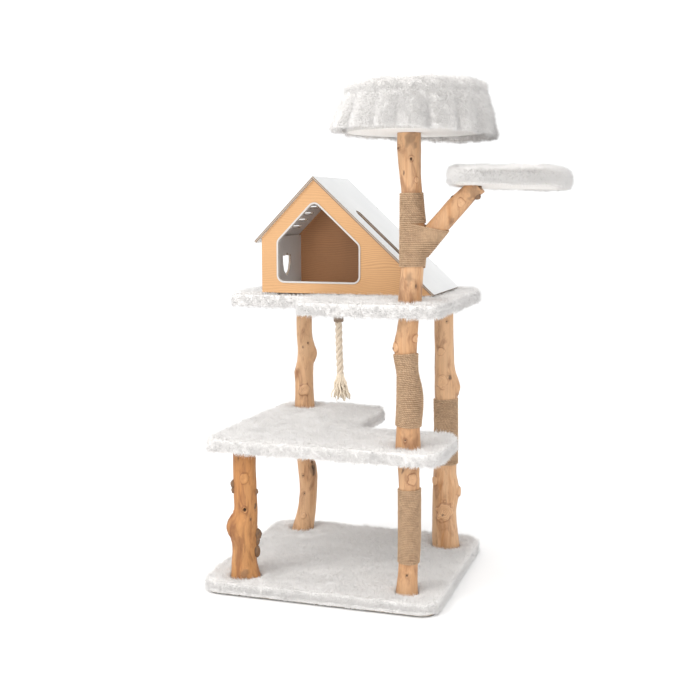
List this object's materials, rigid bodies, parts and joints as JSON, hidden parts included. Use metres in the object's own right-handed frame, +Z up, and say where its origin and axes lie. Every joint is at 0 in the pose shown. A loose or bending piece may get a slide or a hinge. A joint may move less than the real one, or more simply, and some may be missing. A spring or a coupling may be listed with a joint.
{
  "type": "cat tree",
  "caption": "Tall cat tree with plush boards on natural wood posts, a small gabled house, a round plush nest, a branch perch and a hanging rope toy.",
  "frame": {"origin": "middle of the base's underside, on the floor", "axes": "+Z up, -Y to the front with the doorway and the rope toy, +X to the side of the perch"},
  "size_m": [0.8666, 0.676, 1.212],
  "materials": {
    "plush": "deep soft white pile",
    "natural_wood": "peeled natural trunk with knots, satin",
    "board": "raw particle board",
    "oak_veneer": "light oak veneer, matte",
    "white_panel": "white laminated board with brown cut edges, matte",
    "white_trim": "white edging strip",
    "sisal": "tightly wound natural sisal cord",
    "rope": "twisted cream cotton rope",
    "cap": "grey-brown moulded cap",
    "steel": "zinc-plated steel",
    "liner": "dark non-woven lining"
  },
  "bodies": {
    "root": {"base_liner": "liner", "base_board": "board", "base_cover": "plush", "middle_board": "board", "middle_cover": "plush", "upper_board": "board", "upper_cover": "plush", "front_left_post": "natural_wood", "back_left_lower_post": "natural_wood", "back_left_upper_post": "natural_wood", "front_right_lower_post": "natural_wood", "front_right_middle_post": "natural_wood", "forked_post": "natural_wood", "back_right_post": "natural_wood", "front_right_lower_wrap": "sisal", "front_right_middle_wrap": "sisal", "back_right_wrap": "sisal", "fork_wrap": "sisal", "post_bolts": "steel", "post_washers": "steel", "post_studs": "steel", "post_inserts": "steel", "house_front_panel": "oak_veneer", "house_back_panel": "oak_veneer", "house_right_roof": "white_panel", "house_left_roof": "white_panel", "house_floor": "white_panel", "house_left_wall": "white_panel", "doorway_trim": "white_trim", "house_roof_screws": "steel", "house_floor_screws": "steel", "nest_board": "board", "nest_rim": "plush", "nest_skirt": "plush", "nest_cushion": "plush", "perch_board": "board", "perch_cover": "plush", "perch_screws": "steel", "rope_eye_screw": "steel"},
    "rope_link": {"rope_ring": "steel"},
    "rope_toy": {"rope_cap": "cap", "rope": "rope", "rope_tassel": "rope"}
  },
  "joints": [
    {"name": "rope_swing_front_back", "type": "hinge", "parent": "root", "child": "rope_link", "pos_m": [-0.014, -0.04, 0.6858], "axis": [1, 0, 0], "range_deg": [-45, 45]},
    {"name": "rope_swing_side", "type": "hinge", "parent": "rope_link", "child": "rope_toy", "pos_m": [-0.014, -0.04, 0.6763], "axis": [0, 1, 0], "range_deg": [-45, 45]}
  ]
}
